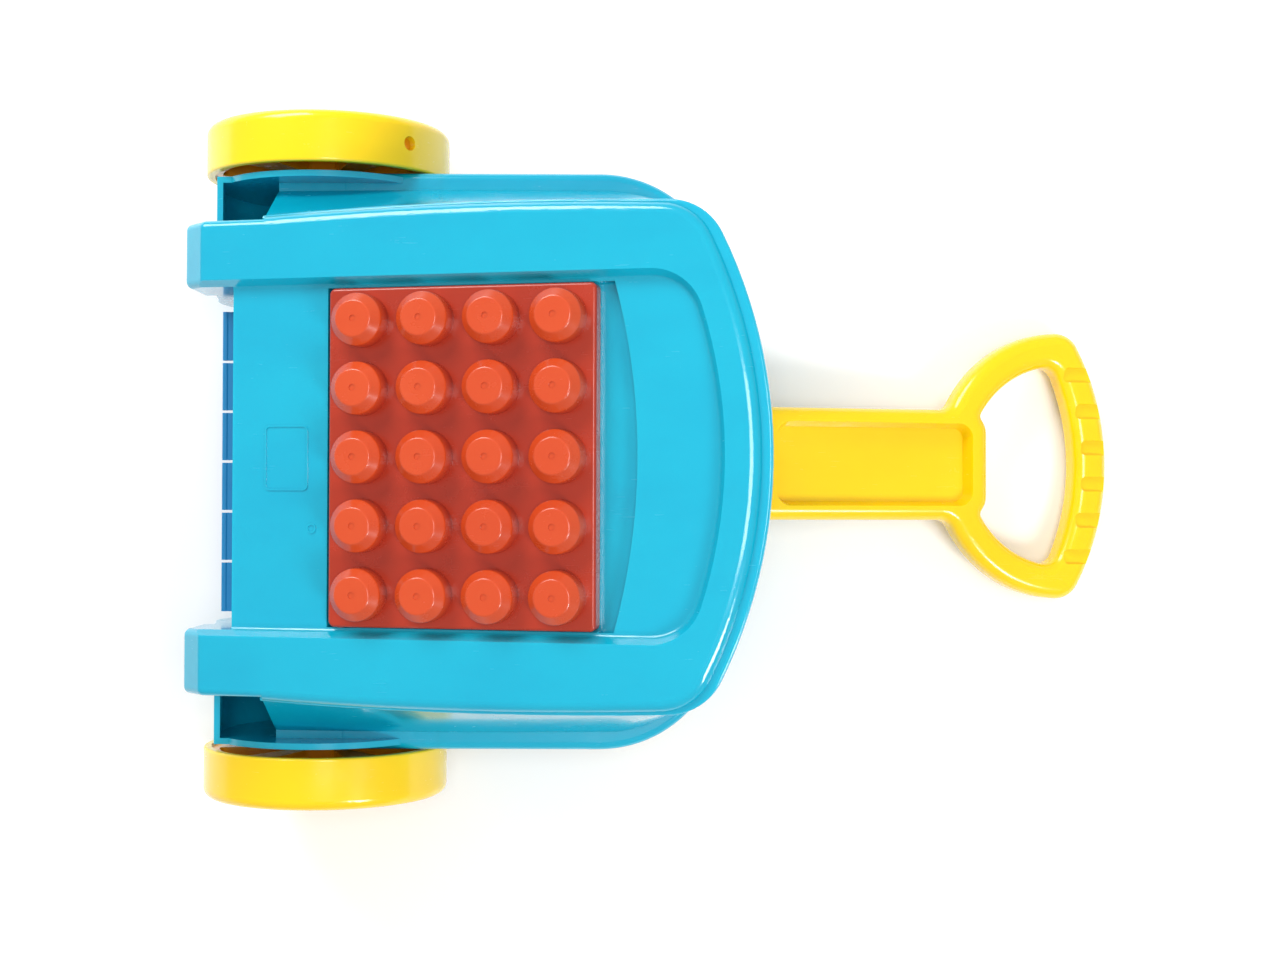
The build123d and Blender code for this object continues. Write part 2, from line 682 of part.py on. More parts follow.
def hub():
    """Disc inside a front wheel with deep pockets between its spokes, open towards the wagon."""
    web_y = wheel_outer_y - tread_wall - wall
    face_y = wheel_inner_y + 1.5
    boss_start = wheel_inner_y - 2.6
    with BuildPart(mode=Mode.PRIVATE) as disc:
        with BuildSketch(Plane.XY):
            with Locations((0, face_y)):
                Rectangle(hub_r, web_y + wall - snug - face_y, align=(Align.MIN, Align.MIN))
            with Locations((0, boss_start)):
                Rectangle(boss_r + 1, boss_end_y - boss_start, align=(Align.MIN, Align.MIN))
        revolve(axis=Axis.Y)
        with BuildSketch(Plane.XZ.offset(-face_y + 1)) as pockets:
            for turn in range(spoke_count):
                with Locations(Location((0, 0, 0), (0, 0, (turn + 0.5) * 360 / spoke_count))):
                    edge = (near * lean, far * lean)
                    Polygon((near, edge[0]), (far, edge[1]), (far, -edge[1]), (near, -edge[0]), align=None)
            Circle(pocket_outer_r, mode=Mode.INTERSECT)
            fillet(pockets.vertices(), radius=2.5)
        extrude(amount=face_y - 1 - web_y, mode=Mode.SUBTRACT)
        with BuildSketch(Plane.XZ):
            Circle(axle_r + snug)
        extrude(amount=-2 * wheel_outer_y, mode=Mode.SUBTRACT)
    return disc.part.moved(Location((axle_x, 0, axle_z)))


def hub_cap():
    """Domed cap that closes the wheel's window on the outside."""
    seat = wheel_outer_y - tread_wall - snug
    cap_edge = 2.0
    cap_hollow = 1.5
    with BuildPart(mode=Mode.PRIVATE) as cap:
        with BuildSketch(Plane.XY):
            with BuildLine():
                Line((axle_r + 6 + gap, seat), (wheel_window_r - gap, seat))
                Line((wheel_window_r - gap, seat), (wheel_window_r - gap, seat + cap_edge))
                dome(wheel_window_r - gap, seat + cap_edge, cap_crown)
                Line((0, seat + cap_edge + cap_crown), (0, seat + cap_hollow))
                Line((0, seat + cap_hollow), (axle_r + 6 + gap, seat + cap_hollow))
                Line((axle_r + 6 + gap, seat + cap_hollow), (axle_r + 6 + gap, seat))
            make_face()
        revolve(axis=Axis.Y)
    return cap.part.moved(Location((axle_x, 0, axle_z)))


left_hole = degrees(atan2(46.3, 40.0))
save(front_wheel(left_hole), "front_wheel_left")
save(other_side(front_wheel(left_hole + 130)), "front_wheel_right")
save(hub(), "hub_left")
save(other_side(hub()), "hub_right")
save(hub_cap(), "hub_cap_left")
save(other_side(hub_cap()), "hub_cap_right")

# ---------------------------------------------------------------- paddle roller
roller_half = arm_inner_y - disc_thick
finger_pitch = 2 * (roller_half - disc_thick - gap) / paddle_fingers

with BuildPart() as roller_core:
    with BuildSketch(Plane.XZ):
        with Locations((axle_x, axle_z)):
            Circle(core_r)
            Circle(core_r - core_wall, mode=Mode.SUBTRACT)
            Circle(axle_r + 3, mode=Mode.ADD)
            for turn in range(paddle_count):
                with PolarLocations(0, 1, turn * 360 / paddle_count + 45):
                    with Locations(((core_r + axle_r) / 2, 0)):
                        Rectangle(core_r - axle_r - 2, 2.4)
            Circle(axle_r + snug, mode=Mode.SUBTRACT)
    extrude(amount=roller_half - disc_thick, both=True)
    for side in (1, -1):
        with BuildSketch(Plane.XZ.offset(-side * (roller_half - disc_thick / 2))):
            with Locations((axle_x, axle_z)):
                Circle(disc_r)
                Circle(axle_r + snug, mode=Mode.SUBTRACT)
        extrude(amount=disc_thick / 2, both=True)
save(roller_core.part, "roller_core")


def paddle(angle):
    """Soft blade cut into fingers, on a foot that follows the core."""
    foot = core_r + snug
    with BuildPart(mode=Mode.PRIVATE) as blade:
        with BuildSketch(Plane.XZ):
            with Locations((foot, 0)):
                Rectangle(paddle_r - foot - paddle_bead_r, paddle_thick, align=(Align.MIN, Align.CENTER))
            with Locations((paddle_r - paddle_bead_r, 0)):
                Circle(paddle_bead_r)
            root = foot + 2.4
            Polygon((foot, 4.5), (root, 4.5), (foot + 6, 0), (root, -4.5), (foot, -4.5), align=None)
            Circle(foot, mode=Mode.SUBTRACT)
        extrude(amount=roller_half - disc_thick - gap, both=True)
        for n in range(1, paddle_fingers):
            y = (n - paddle_fingers / 2) * finger_pitch
            with BuildSketch(Plane.XY.offset(-paddle_r)):
                with Locations((foot + 9, y)):
                    Rectangle(paddle_r, finger_gap, align=(Align.MIN, Align.CENTER))
            extrude(amount=2 * paddle_r, mode=Mode.SUBTRACT)
    return blade.part.rotate(Axis.Y, angle).moved(Location((axle_x, 0, axle_z)))


for n in range(paddle_count):
    save(paddle(180 + n * 360 / paddle_count), f"paddle_{n + 1}")


# ---------------------------------------------------------------- lid with studs
lid_low = lid_proud - lid_thickness


def stud(inset):
    """Round stud with a sloping top edge."""
    top = stud_height - inset
    with BuildPart(mode=Mode.PRIVATE) as bump:
        with BuildSketch(Plane.XZ):
            with BuildLine():
                Polyline(
                    (0, -0.5 - inset),
                    (stud_base_r - inset, -0.5 - inset),
                    (stud_base_r - 0.4 - inset, top - stud_bevel),
                    (stud_top_r - inset / 2, top),
                    (0, top),
                    close=True,
                )
            make_face()
        revolve(axis=Axis.Z)
        if inset == 0:
            fillet(bump.edges().filter_by(GeomType.CIRCLE).sort_by(Axis.Z)[-2:], radius=stud_edge_r)
            with Locations((0, 0, top)):
                Cylinder(stud_dimple_r, 2 * stud_dimple_depth, mode=Mode.SUBTRACT)
    return bump.part


with BuildPart() as lid:
    with BuildSketch(deck_plane.offset(lid_low)):
        RectangleRounded(lid_length, lid_width, lid_corner_r)
    extrude(amount=lid_thickness)
    fillet(facing(lid, deck_plane.z_dir).edges(), radius=1.5)
    with BuildSketch(deck_plane.offset(lid_low)):
        RectangleRounded(lid_length - 2 * lid_wall, lid_width - 2 * lid_wall, 1.5)
    extrude(amount=lid_thickness - lid_wall, mode=Mode.SUBTRACT)
    with Locations(deck_plane.offset(lid_proud)):
        with GridLocations(stud_pitch, stud_pitch, studs_along, studs_across):
            add(stud(0))
    with Locations(deck_plane.offset(lid_proud)):
        with GridLocations(stud_pitch, stud_pitch, studs_along, studs_across):
            add(stud(lid_wall), mode=Mode.SUBTRACT)
    for side in (1, -1):
        with BuildSketch(Plane.XZ.offset(-side * (lid_width / 2 - 1))):
            with Locations((hinge_at.X, hinge_at.Z)):
                Circle(hinge_r)
        extrude(amount=-side * (hinge_reach + 1))
save(lid.part, "lid")

# ---------------------------------------------------------------- rear axle set
rear_wheel_outer = rear_wheel_y + rear_wheel_width
rear_axle_end = rear_wheel_outer + 2.0

with BuildPart() as rear_axle:
    with BuildSketch(Plane.XZ):
        with Locations((rear_axle_x, rear_wheel_r)):
            Circle(rear_axle_r)
    extrude(amount=rear_axle_end, both=True)
    chamfer(rear_axle.edges(), length=0.6)
save(rear_axle.part, "rear_axle")


def rear_wheel():
    """Small solid-rimmed roller with a dished outer side."""
    with BuildPart(mode=Mode.PRIVATE) as roller:
        with BuildSketch(Plane.XY) as section:
            with Locations((rear_axle_r + snug, rear_wheel_y)):
                Rectangle(rear_wheel_r - rear_axle_r - snug, rear_wheel_width, align=(Align.MIN, Align.MIN))
            fillet(section.vertices().group_by(Axis.X)[-1], radius=3.0)
            with Locations((rear_axle_r + 4, rear_wheel_outer - 5)):
                Rectangle(rear_wheel_r - rear_axle_r - 9, 6, align=(Align.MIN, Align.MIN), mode=Mode.SUBTRACT)
            with Locations((rear_axle_r + 4, rear_wheel_y - 1)):
                Rectangle(rear_wheel_r - rear_axle_r - 9, 6, align=(Align.MIN, Align.MIN), mode=Mode.SUBTRACT)
        revolve(axis=Axis.Y)
    return roller.part.moved(Location((rear_axle_x, 0, rear_wheel_r)))


def push_cap(bore, at_x, at_z, start_y, depth=3.2):
    """Domed push-on cap at the end of a rod."""
    with BuildPart(mode=Mode.PRIVATE) as cap:
        with BuildSketch(Plane.XY):
            with BuildLine():
                Line((bore + snug, start_y), (bore + 4.0, start_y))
                Line((bore + 4.0, start_y), (bore + 4.0, start_y + 1.2))
                dome(bore + 4.0, start_y + 1.2, depth - 0.4)
                Line((0, start_y + depth + 0.8), (0, start_y + depth - 1.0))
                Line((0, start_y + depth - 1.0), (bore + snug, start_y + depth - 1.0))
                Line((bore + snug, start_y + depth - 1.0), (bore + snug, start_y))
            make_face()
        revolve(axis=Axis.Y)
    return cap.part.moved(Location((at_x, 0, at_z)))


save(rear_wheel(), "rear_wheel_left")
save(other_side(rear_wheel()), "rear_wheel_right")
rear_cap = push_cap(rear_axle_r, rear_axle_x, rear_wheel_r, rear_wheel_outer)
save(rear_cap, "rear_cap_left")
save(other_side(rear_cap), "rear_cap_right")

# ---------------------------------------------------------------- handle
half_bar = bar_thick / 2
reach = handle_reach - pivot_from_axle - grip_edge
drop = pivot_height - grip_edge
lay_angle = atan2(drop, reach)
for _ in range(8):
    lay_angle = atan2(drop - (half_bar - grip_edge) * cos(2 * lay_angle) / cos(lay_angle), reach)
bar_length = (reach - (half_bar - grip_edge) * sin(lay_angle)) / cos(lay_angle) + grip_edge
bar_plane = Plane(
    origin=(pivot_x, 0, pivot_height),
    x_dir=(cos(lay_angle), 0, -sin(lay_angle)),
    z_dir=(sin(lay_angle), 0, cos(lay_angle)),
)
grip_outer_mid = bar_length - grip_outer_r
grip_inner_mid = bar_length - grip_band - grip_inner_r


def close_to(outline, x, y):
    """The two corners of an outline nearest to a place and to its mirror image."""
    return outline.vertices().sort_by(lambda v: hypot(v.X - x, abs(v.Y) - y))[:2]


with BuildPart() as handle:
    with BuildSketch(bar_plane.offset(-half_bar)) as outline:
        with Locations((ring_mid, 0)):
            Circle(ring_outer_r)
        with Locations((grip_outer_mid, 0)):
            Circle(grip_outer_r, mode=Mode.INTERSECT)
        fillet(outline.vertices().group_by(Axis.X)[-1], radius=14.0)
        Rectangle(ring_mid, bar_width, align=(Align.MIN, Align.CENTER))
        junction = ring_mid - sqrt(ring_outer_r**2 - (bar_width / 2) ** 2)
        fillet(close_to(outline, junction, bar_width / 2), radius=8.0)
        with BuildSketch(mode=Mode.PRIVATE) as opening:
            with Locations((ring_mid, 0)):
                Circle(ring_inner_r)
            with Locations((grip_inner_mid, 0)):
                Circle(grip_inner_r, mode=Mode.INTERSECT)
            fillet(opening.vertices().group_by(Axis.X)[-1], radius=9.0)
            RectangleRounded(2 * bar_end, bar_width, bar_end_r, mode=Mode.SUBTRACT)
            fillet(opening.vertices().group_by(Axis.X)[0], radius=3.0)
        add(opening.sketch, mode=Mode.SUBTRACT)
    extrude(amount=bar_thick)
    flats = facing(handle, bar_plane.z_dir) + facing(handle, -bar_plane.z_dir)
    rims = flats.edges().filter_by(lambda edge: bar_plane.to_local_coords(edge.center()).X > half_bar)
    fillet(rims, radius=grip_edge)
    # round end about the pivot
    with BuildSketch(Plane.XZ):
        with Locations((pivot_x, pivot_height)):
            Circle(half_bar)
    extrude(amount=bar_width / 2, both=True)
    with BuildSketch(Plane.XZ):
        with Locations((pivot_x, pivot_height)):
            Circle(pin_r + running)
    extrude(amount=bar_width, both=True, mode=Mode.SUBTRACT)
    # trough along the top and a shallower one underneath
    trough_start = half_bar + 5
    trough_mid = (trough_start + trough_end) / 2
    with BuildSketch(bar_plane.offset(half_bar)):
        with Locations((trough_mid, 0)):
            RectangleRounded(trough_end - trough_start, 2 * trough_half, 8.0)
    extrude(amount=-trough_depth, taper=trough_slope, mode=Mode.SUBTRACT)
    with BuildSketch(bar_plane.offset(-half_bar)):
        with Locations((trough_mid, 0)):
            RectangleRounded(trough_end - trough_start, 2 * trough_half - 2 * wall, 5.0)
    extrude(amount=bar_thick - trough_depth - wall, mode=Mode.SUBTRACT)
    # finger notches across the grip
    with BuildSketch(bar_plane.offset(half_bar)):
        for n in range(notch_count):
            across = (n - (notch_count - 1) / 2) * notch_pitch
            inner_edge = grip_inner_mid + sqrt(grip_inner_r**2 - across**2)
            with Locations((inner_edge + notch_start, across)):
                RectangleRounded(2 * grip_band, notch_width, 2.5, align=(Align.MIN, Align.CENTER))
    extrude(amount=-notch_depth, mode=Mode.SUBTRACT)
save(handle.part, "handle")

with BuildPart() as handle_pin:
    with BuildSketch(Plane.XZ):
        with Locations((pivot_x, pivot_height)):
            Circle(pin_r)
    extrude(amount=pin_half, both=True)
    chamfer(handle_pin.edges(), length=0.6)
save(handle_pin.part, "handle_pin")
pin_cap = push_cap(pin_r, pivot_x, pivot_height, ear_outer_y)
save(Compound([pin_cap, other_side(pin_cap)]), "handle_pin_caps")

# ---------------------------------------------------------------- screws
with BuildPart(mode=Mode.PRIVATE) as screw:
    with BuildSketch(Plane.XZ):
        Polygon(
            (0, -screw_head),
            (screw_head_r - 0.8, -screw_head),
            (screw_head_r, -0.8),
            (screw_head_r, 0),
            (screw_r, 0),
            (screw_r, screw_length),
            (screw_r * 0.4, screw_length + wall - 1),
            (0, screw_length + wall - 1),
            align=None,
        )
    revolve(axis=Axis.Z)
    with BuildSketch(Plane.XY.offset(-screw_head)):
        Rectangle(3.6, 0.8)
        Rectangle(0.8, 3.6)
    extrude(amount=1.2, mode=Mode.SUBTRACT)
screws = [
    screw.part.moved(Location((x, side * y, joint_height - wall))) for x, y in post_places for side in (1, -1)
]
save(Compound(screws), "shell_screws")
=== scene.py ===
"""Looks of a toddler's block-scooping wagon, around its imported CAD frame. Lengths are in metres."""
import json
from math import pi, radians

import bmesh
import bpy
from mathutils import Matrix, Vector


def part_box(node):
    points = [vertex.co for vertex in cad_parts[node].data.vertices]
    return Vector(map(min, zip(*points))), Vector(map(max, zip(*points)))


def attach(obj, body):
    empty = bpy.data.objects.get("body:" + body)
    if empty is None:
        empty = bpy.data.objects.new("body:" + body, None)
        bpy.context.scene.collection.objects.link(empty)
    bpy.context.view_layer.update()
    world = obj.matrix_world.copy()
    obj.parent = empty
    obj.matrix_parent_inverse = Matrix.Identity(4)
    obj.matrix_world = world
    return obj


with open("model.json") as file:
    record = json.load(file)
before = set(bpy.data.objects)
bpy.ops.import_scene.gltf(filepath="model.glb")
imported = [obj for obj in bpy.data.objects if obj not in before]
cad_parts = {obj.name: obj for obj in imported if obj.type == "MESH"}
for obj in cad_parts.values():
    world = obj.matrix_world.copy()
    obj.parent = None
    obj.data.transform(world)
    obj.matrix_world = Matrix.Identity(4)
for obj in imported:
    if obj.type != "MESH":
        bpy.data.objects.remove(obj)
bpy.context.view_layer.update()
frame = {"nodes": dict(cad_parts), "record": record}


# ---------------------------------------------------------------- shader maths
class Wire:
    """A socket that takes part in Python expressions."""

    def __init__(self, graph, socket):
        self.graph = graph
        self.socket = socket

    def _math(self, operation, *values):
        return self.graph.node("ShaderNodeMath", {"operation": operation}, dict(enumerate(values)))

    def __add__(self, other):
        return self._math("ADD", self, other)

    def __sub__(self, other):
        return self._math("SUBTRACT", self, other)

    def __mul__(self, other):
        return self._math("MULTIPLY", self, other)

    def __radd__(self, other):
        return self._math("ADD", other, self)

    def __rsub__(self, other):
        return self._math("SUBTRACT", other, self)

    def __rmul__(self, other):
        return self._math("MULTIPLY", other, self)

    def ramp(self, low, high):
        """0 below low, 1 above high, smooth between."""
        values = {"Value": self, "From Min": low, "From Max": high}
        return self.graph.node("ShaderNodeMapRange", {"interpolation_type": "SMOOTHSTEP"}, values)


class Graph:
    """The node tree of one material."""

    def __init__(self, name):
        self.material = bpy.data.materials.new(name)
        self.material.use_nodes = True
        self.tree = self.material.node_tree
        self.tree.nodes.clear()

    def node(self, kind, settings=None, values=None, out=0):
        """Adds a node with its settings and sockets, and gives one of its outputs, if it has any."""
        made = self.tree.nodes.new(kind)
        for key, value in (settings or {}).items():
            setattr(made, key, value)
        for key, value in (values or {}).items():
            if isinstance(value, Wire):
                self.tree.links.new(value.socket, made.inputs[key])
            else:
                made.inputs[key].default_value = value
        return Wire(self, made.outputs[out]) if made.outputs else None

    def object_place(self, stretch=None):
        """Object coordinates, multiplied along each axis where a stretch is given."""
        place = self.node("ShaderNodeTexCoord", out=3)
        if stretch is None:
            return place
        return self.node("ShaderNodeMapping", None, {"Vector": place, "Scale": stretch})

    def along(self, direction):
        """Distance along a direction from the object's origin."""
        values = {0: self.object_place(), 1: direction}
        return self.node("ShaderNodeVectorMath", {"operation": "DOT_PRODUCT"}, values, out=1)

    def noise(self, scale, detail, stretch=None, roughness=0.5):
        place = self.object_place(stretch)
        values = {"Vector": place, "Scale": scale, "Detail": detail, "Roughness": roughness}
        return self.node("ShaderNodeTexNoise", None, values)

    def mix(self, factor, first, second):
        """Colour between two colours, which a Mix node of colours takes at its inputs 6 and 7."""
        return self.node("ShaderNodeMix", {"data_type": "RGBA"}, {0: factor, 6: first, 7: second}, out=2)

    def finish(self, **sockets):
        """Principled shader with the given sockets, as the material's surface."""
        values = {name.replace("_", " "): value for name, value in sockets.items()}
        shader = self.node("ShaderNodeBsdfPrincipled", None, values)
        self.node("ShaderNodeOutputMaterial", None, {"Surface": shader})
        return self.material


def rgb(red, green, blue):
    """Linear colour from 0-255 display values."""
    def linear(value):
        value /= 255
        return value / 12.92 if value <= 0.04045 else ((value + 0.055) / 1.055) ** 2.4

    return (linear(red), linear(green), linear(blue), 1.0)


def moulded_plastic(name, colour, deep, roughness=0.16, coat=0.35, peel_height=0.1, glow=0.25, low=None):
    """Glossy injection-moulded plastic: faint flow clouds, handling haze, fine scratches, orange peel.

    low is (point, direction, height, colour), for painted shade. The plastic takes that colour at the
    point's level, and its own at that height above it along the direction, so that hollows low down are
    painted darker, as shade.
    """
    g = Graph(name)
    clouds = g.noise(9.0, 2.0)
    flow = g.noise(30.0, 3.0, stretch=(0.3, 1.0, 1.0))
    haze = g.noise(55.0, 5.0, roughness=0.65)
    hairs = g.noise(900.0, 1.0, stretch=(0.03, 1.0, 0.3))
    scratch = hairs.ramp(0.66, 0.74) * haze.ramp(0.5, 0.66)
    peel = g.noise(700.0, 2.0)
    speck = g.noise(1900.0, 0.0).ramp(0.82, 0.86)
    tint = clouds.ramp(0.3, 0.7) * 0.5 + flow.ramp(0.4, 0.7) * 0.3 + speck * 0.35
    base = g.mix(tint, colour, deep)
    # painted shade: the colour darkens down towards the point's level, in place of shade in the hollows
    if low:
        point, direction, height, painted_shade_colour = low
        above = g.along(direction) - point.dot(direction)
        base = g.mix(1.0 - above.ramp(0.0, height), base, painted_shade_colour)
    rough = roughness + haze.ramp(0.45, 0.8) * 0.1 + scratch * 0.16
    relief = peel * peel_height + clouds * 0.3 - scratch * 0.25
    bump = g.node("ShaderNodeBump", None, {"Strength": 0.1, "Distance": 0.0004, "Height": relief})
    return g.finish(
        Base_Color=base, Roughness=rough, Normal=bump, IOR=1.5, Coat_Weight=coat, Coat_Roughness=0.06,
        Subsurface_Weight=glow, Subsurface_Radius=(1.0, 1.0, 1.0), Subsurface_Scale=0.006,
    )


def soft_rubber(name, colour, deep):
    """Satin elastomer with a fine grain and dust in it."""
    g = Graph(name)
    grain = g.noise(1500.0, 2.0)
    dust = g.noise(45.0, 5.0, roughness=0.7)
    base = g.mix(dust.ramp(0.5, 0.75) * 0.35, colour, deep)
    bump = g.node("ShaderNodeBump", None, {"Strength": 0.25, "Distance": 0.0003, "Height": grain})
    return g.finish(Base_Color=base, Roughness=0.42 + dust * 0.2, Normal=bump, IOR=1.5)


def drawn_steel(name):
    """Bright drawn rod with fine lines round it."""
    g = Graph(name)
    lines = g.noise(700.0, 3.0, stretch=(1.0, 0.06, 1.0))
    stain = g.noise(70.0, 4.0)
    base = g.mix(stain.ramp(0.4, 0.8) * 0.4, (0.62, 0.62, 0.63, 1.0), (0.42, 0.41, 0.40, 1.0))
    bump = g.node("ShaderNodeBump", None, {"Strength": 0.15, "Distance": 0.0002, "Height": lines})
    return g.finish(Base_Color=base, Roughness=0.22 + lines * 0.18, Normal=bump, Metallic=1.0)


# the way out of the sloping deck, and points at the middle of the lid on its studs, deck and plate
studs = next(mount for mount in frame["record"]["mounts"] if mount["name"] == "lid_studs")
DECK_UP = Vector(studs["axis"])
STUD_TOP = Vector(studs["pos_m"])
DECK = STUD_TOP - DECK_UP * 0.016
PLATE = DECK + DECK_UP * 0.003
# height over the plate within which the painted shade between the studs fades out
STUD_SHADE = 0.009

BLUE = moulded_plastic("blue_shell", rgb(8, 172, 200), rgb(2, 160, 192))
DEEP_BLUE = moulded_plastic("deep_blue_moulding", rgb(0, 104, 170), rgb(0, 88, 152), 0.22)
BLADE_BLUE = soft_rubber("blue_blade", rgb(0, 126, 182), rgb(0, 104, 164))
YELLOW = moulded_plastic("yellow_moulding", rgb(252, 210, 4), rgb(250, 200, 0), 0.2, glow=0.35)
ORANGE = moulded_plastic("orange_hub", rgb(250, 160, 6), rgb(242, 146, 4), 0.22, glow=0.5)
# red lid: its plate is painted darker between the studs, towards the plate's level, as painted shade
RED = moulded_plastic(
    "red_lid", rgb(204, 76, 34), rgb(194, 66, 28), 0.24, 0.15, glow=0.1,
    low=(PLATE, DECK_UP, STUD_SHADE, rgb(172, 50, 26)),
)
STEEL = drawn_steel("drawn_steel")

finish_of_slot = {
    "blue_plastic": BLUE,
    "deep_blue_plastic": DEEP_BLUE,
    "blue_rubber": BLADE_BLUE,
    "yellow_plastic": YELLOW,
    "orange_plastic": ORANGE,
    "red_plastic": RED,
    "steel": STEEL,
}
for part in frame["record"]["subparts"]:
    node = frame["nodes"][part["node"]]
    node.data.materials.clear()
    node.data.materials.append(finish_of_slot[part["material_slot"]])


# ---------------------------------------------------------------- pieces that the CAD leaves plain
RING_STEPS = 96
SHARP = radians(35)
CREASE = radians(38)
ROUNDING = 0.0003


def box_at(mesh, low, high):
    """Adds a box between two corners to a mesh under construction."""
    size = [b - a for a, b in zip(low, high)]
    middle = [(a + b) / 2 for a, b in zip(low, high)]
    place = Matrix.Translation(middle) @ Matrix.Diagonal((*size, 1.0))
    return bmesh.ops.create_cube(mesh, size=1.0, matrix=place)["verts"]


def ring_at(mesh, inner, outer, low, high):
    """Adds a flat ring about the Y axis: radii in the XZ plane, low and high along Y."""
    corners = [(inner, low), (outer, low), (outer, high), (inner, high)]
    verts = [mesh.verts.new((radius, y, 0.0)) for radius, y in corners]
    face = mesh.faces.new(verts)
    bmesh.ops.spin(
        mesh, geom=[face, *face.edges, *face.verts], cent=(0, 0, 0), axis=(0, 1, 0), angle=2 * pi,
        steps=RING_STEPS, use_merge=True, use_duplicate=False,
    )


def soften(mesh):
    """Rounds a mesh's sharp edges."""
    bmesh.ops.remove_doubles(mesh, verts=mesh.verts, dist=1e-7)
    bmesh.ops.recalc_face_normals(mesh, faces=mesh.faces)
    between_two = [edge for edge in mesh.edges if len(edge.link_faces) == 2]
    sharp = [edge for edge in between_two if edge.calc_face_angle() > SHARP]
    bmesh.ops.bevel(mesh, geom=sharp, offset=ROUNDING, affect="EDGES", segments=2, profile=0.5, material=-1)


def piece(name, mesh, place, body, slot):
    """Turns a mesh under construction into a piece that moves with a body."""
    bmesh.ops.transform(mesh, matrix=place, verts=mesh.verts)
    bmesh.ops.recalc_face_normals(mesh, faces=mesh.faces)
    data = bpy.data.meshes.new(name)
    mesh.to_mesh(data)
    mesh.free()
    for face in data.polygons:
        face.use_smooth = True
    data.set_sharp_from_angle(angle=CREASE)
    data.materials.append(finish_of_slot[slot])
    made = bpy.data.objects.new(name, data)
    bpy.context.scene.collection.objects.link(made)
    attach(made, body)


def corners_of(node):
    """Lowest and highest corner of a CAD node's box."""
    low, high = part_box(node)
    return Vector(low), Vector(high)


# relief of a hub cap: radii about its middle, and levels from the crown of its dome
RIM_INNER, RIM_OUTER = 0.0305, 0.0345
RIM_FOOT = -0.0022
BUTTON_INNER, BUTTON_OUTER = 0.0080, 0.0105
BUTTON_FOOT, BUTTON_TOP = -0.0006, 0.0001
PETALS = 6
PETAL_START, PETAL_END = 0.0125, 0.0275
PETAL_FOOT = -0.0024
PETAL_HALF_WIDTH = 0.0020
PETAL_SPREAD = 1.4
DOME_FALL = 0.0006


def hub_relief(name, cap, side):
    """Raised rim, petals that widen outwards and a button's ring on the outer face of a hub cap."""
    low, high = corners_of(cap)
    middle = (low + high) / 2
    face = high.y if side > 0 else -low.y
    mesh = bmesh.new()
    ring_at(mesh, RIM_INNER, RIM_OUTER, face + RIM_FOOT, face)
    ring_at(mesh, BUTTON_INNER, BUTTON_OUTER, face + BUTTON_FOOT, face + BUTTON_TOP)
    for n in range(PETALS):
        foot = (PETAL_START, face + PETAL_FOOT, -PETAL_HALF_WIDTH)
        petal = box_at(mesh, foot, (PETAL_END, face, PETAL_HALF_WIDTH))
        for vert in petal:
            outward = (vert.co.x - PETAL_START) / (PETAL_END - PETAL_START)
            vert.co.z *= 1 + PETAL_SPREAD * outward
            vert.co.y -= DOME_FALL * outward
        turn = Matrix.Rotation(2 * pi * n / PETALS, 3, "Y")
        bmesh.ops.rotate(mesh, verts=petal, cent=(0, 0, 0), matrix=turn)
    soften(mesh)
    place = Matrix.Translation((middle.x, 0.0, middle.z))
    if side < 0:
        place = place @ Matrix.Rotation(pi, 4, "X")
    piece(name, mesh, place, "front_axle_set", "orange_plastic")


RIB_HALF_WIDTH = 0.0008

# ribs under the tub: its floor's underside, and the ribs' lines, depths and root in the floor
TUB_FLOOR = 0.030
TUB_RIB_ROOT = 0.0005
LONG_RIBS_Y = (-0.066, -0.022, 0.022, 0.066)
LONG_RIB_DEPTH = 0.0042
LONG_RIB_FRONT, LONG_RIB_REAR = 0.006, 0.034
CROSS_RIBS = 4
CROSS_RIB_DEPTH = 0.0035
CROSS_RIB_REACH = 0.088
CROSS_RIB_START, CROSS_RIB_PITCH = 0.012, 0.021


def tub_ribs():
    """Stiffening ribs under the tub's floor, above the rear axle."""
    low, high = corners_of("lower_tub")
    front, rear = low.x + LONG_RIB_FRONT, high.x - LONG_RIB_REAR
    root = TUB_FLOOR + TUB_RIB_ROOT
    mesh = bmesh.new()
    for y in LONG_RIBS_Y:
        foot = (front, y - RIB_HALF_WIDTH, TUB_FLOOR - LONG_RIB_DEPTH)
        box_at(mesh, foot, (rear, y + RIB_HALF_WIDTH, root))
    for n in range(CROSS_RIBS):
        x = front + CROSS_RIB_START + n * CROSS_RIB_PITCH
        foot = (x - RIB_HALF_WIDTH, -CROSS_RIB_REACH, TUB_FLOOR - CROSS_RIB_DEPTH)
        box_at(mesh, foot, (x + RIB_HALF_WIDTH, CROSS_RIB_REACH, root))
    soften(mesh)
    piece("tub_ribs", mesh, Matrix.Identity(4), "wagon", "blue_plastic")


# ribs in the handle's bar: along it from the hinge and under it, before it is laid down by its angle
HANDLE_LAY = radians(14.91)
BAR_RIBS = 5
BAR_RIB_START, BAR_RIB_PITCH = 0.030, 0.019
BAR_RIB_REACH = 0.0182
BAR_RIB_FOOT, BAR_RIB_ROOT = -0.0088, -0.0015
SPINE_START, SPINE_END = 0.0165, 0.1190
SPINE_FOOT = -0.0080


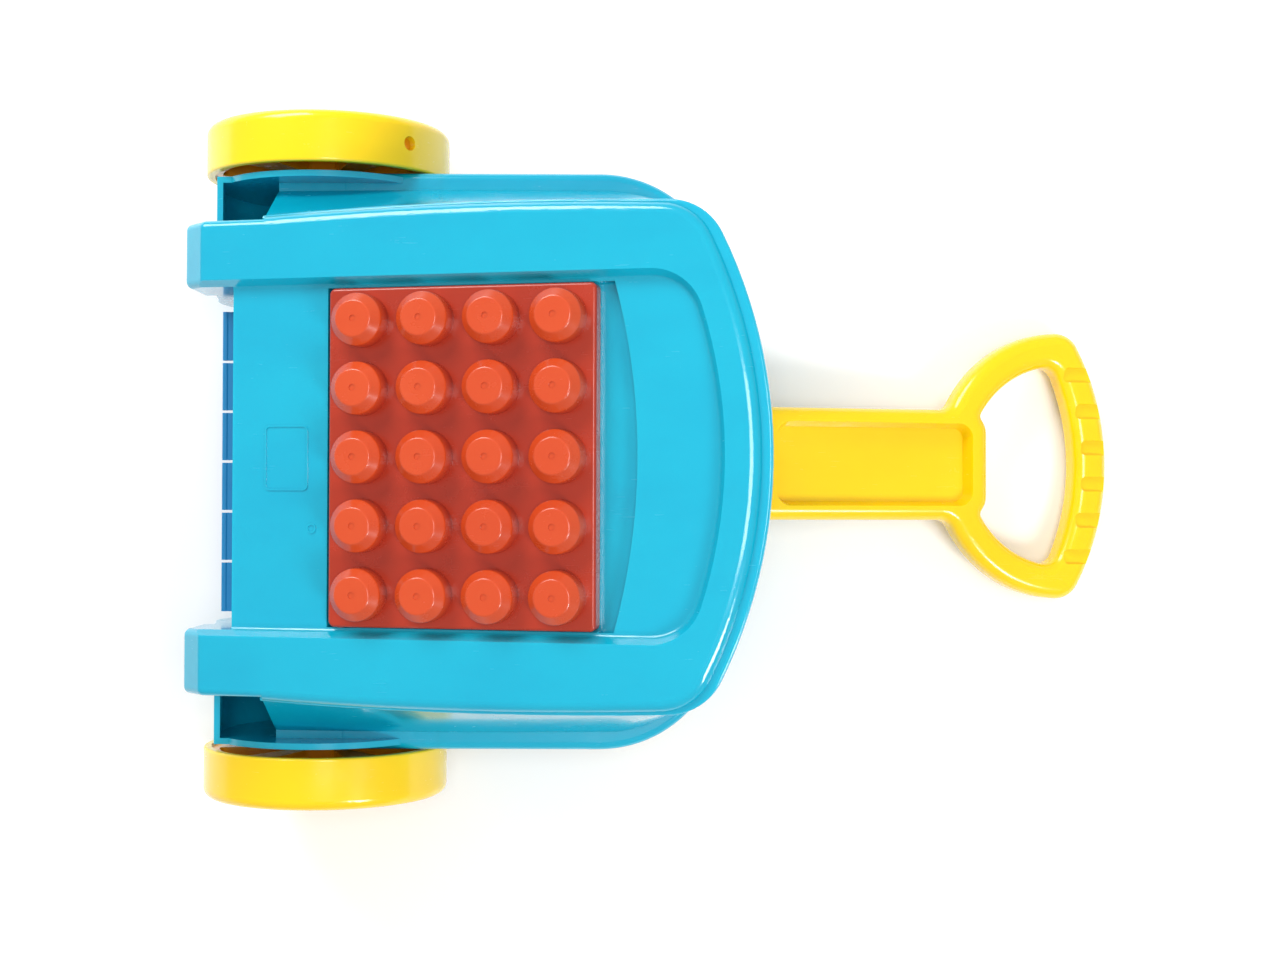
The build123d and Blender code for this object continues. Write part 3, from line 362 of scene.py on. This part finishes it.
def handle_ribs():
    """Cross ribs and one long spine in the hollow under the handle's bar."""
    joints = frame["record"]["behaviour"]["joints"]
    hinge = next(joint for joint in joints if joint["name"] == "handle_hinge")
    mesh = bmesh.new()
    for n in range(BAR_RIBS):
        along = BAR_RIB_START + BAR_RIB_PITCH * n
        foot = (along - RIB_HALF_WIDTH, -BAR_RIB_REACH, BAR_RIB_FOOT)
        box_at(mesh, foot, (along + RIB_HALF_WIDTH, BAR_RIB_REACH, BAR_RIB_ROOT))
    foot = (SPINE_START, -RIB_HALF_WIDTH, SPINE_FOOT)
    box_at(mesh, foot, (SPINE_END, RIB_HALF_WIDTH, BAR_RIB_ROOT))
    soften(mesh)
    place = Matrix.Translation(hinge["pos_m"]) @ Matrix.Rotation(HANDLE_LAY, 4, "Y")
    piece("handle_ribs", mesh, place, "handle", "yellow_plastic")


hub_relief("hub_relief_left", "hub_cap_left", 1)
hub_relief("hub_relief_right", "hub_cap_right", -1)
tub_ribs()
handle_ribs()


# ---------------------------------------------------------------- floor, light and camera
def floor():
    """Large pale floor under the wheels, part of the stage."""
    mesh = bmesh.new()
    bmesh.ops.create_grid(mesh, x_segments=1, y_segments=1, size=6.0)
    data = bpy.data.meshes.new("floor")
    mesh.to_mesh(data)
    mesh.free()
    plane = bpy.data.objects.new("floor", data)
    bpy.context.scene.collection.objects.link(plane)
    g = Graph("pale_floor")
    tone = g.noise(3.0, 2.0)
    base = g.mix(tone, (0.97, 0.97, 0.97, 1.0), (0.96, 0.96, 0.965, 1.0))
    data.materials.append(g.finish(Base_Color=base, Roughness=0.9))


def softbox(name, place, aim, size, power):
    """White rectangular lamp at a place, turned towards a point."""
    light = bpy.data.lights.new(name, "AREA")
    light.shape = "RECTANGLE"
    light.size, light.size_y = size
    light.energy = power
    holder = bpy.data.objects.new(name, light)
    holder.location = place
    holder.rotation_euler = (Vector(aim) - Vector(place)).to_track_quat("-Z", "Y").to_euler()
    bpy.context.scene.collection.objects.link(holder)


def world_light(strength):
    """Even white light from all sides."""
    world = bpy.data.worlds.new("studio")
    world.use_nodes = True
    background = world.node_tree.nodes["Background"]
    background.inputs["Color"].default_value = (1.0, 1.0, 1.0, 1.0)
    background.inputs["Strength"].default_value = strength
    bpy.context.scene.world = world


def camera():
    """Camera a metre up, looking almost straight down on the wagon."""
    lens = bpy.data.cameras.new("camera")
    lens.sensor_width = 36.0
    lens.lens = 50.6
    lens.clip_start = 0.01
    holder = bpy.data.objects.new("camera", lens)
    holder.location = (-0.015, -0.0215, 0.996)
    holder.rotation_euler = (radians(0.77), 0.0, radians(0.18))
    bpy.context.scene.collection.objects.link(holder)
    bpy.context.scene.camera = holder


floor()
world_light(0.5)
softbox("key", (-0.75, 1.05, 0.85), aim=(0.0, 0.0, 0.05), size=(0.9, 0.6), power=17)
softbox("overhead", (0.1, 0.0, 1.7), aim=(-0.05, 0.0, 0.0), size=(0.5, 0.5), power=8)
softbox("pane_1", (0.62, -0.72, 1.15), aim=(0.0, 0.0, 0.1), size=(0.16, 0.42), power=5)
softbox("pane_2", (0.84, -0.68, 1.15), aim=(0.0, 0.0, 0.1), size=(0.16, 0.42), power=5)
camera()
bpy.context.scene.view_settings.view_transform = "Standard"
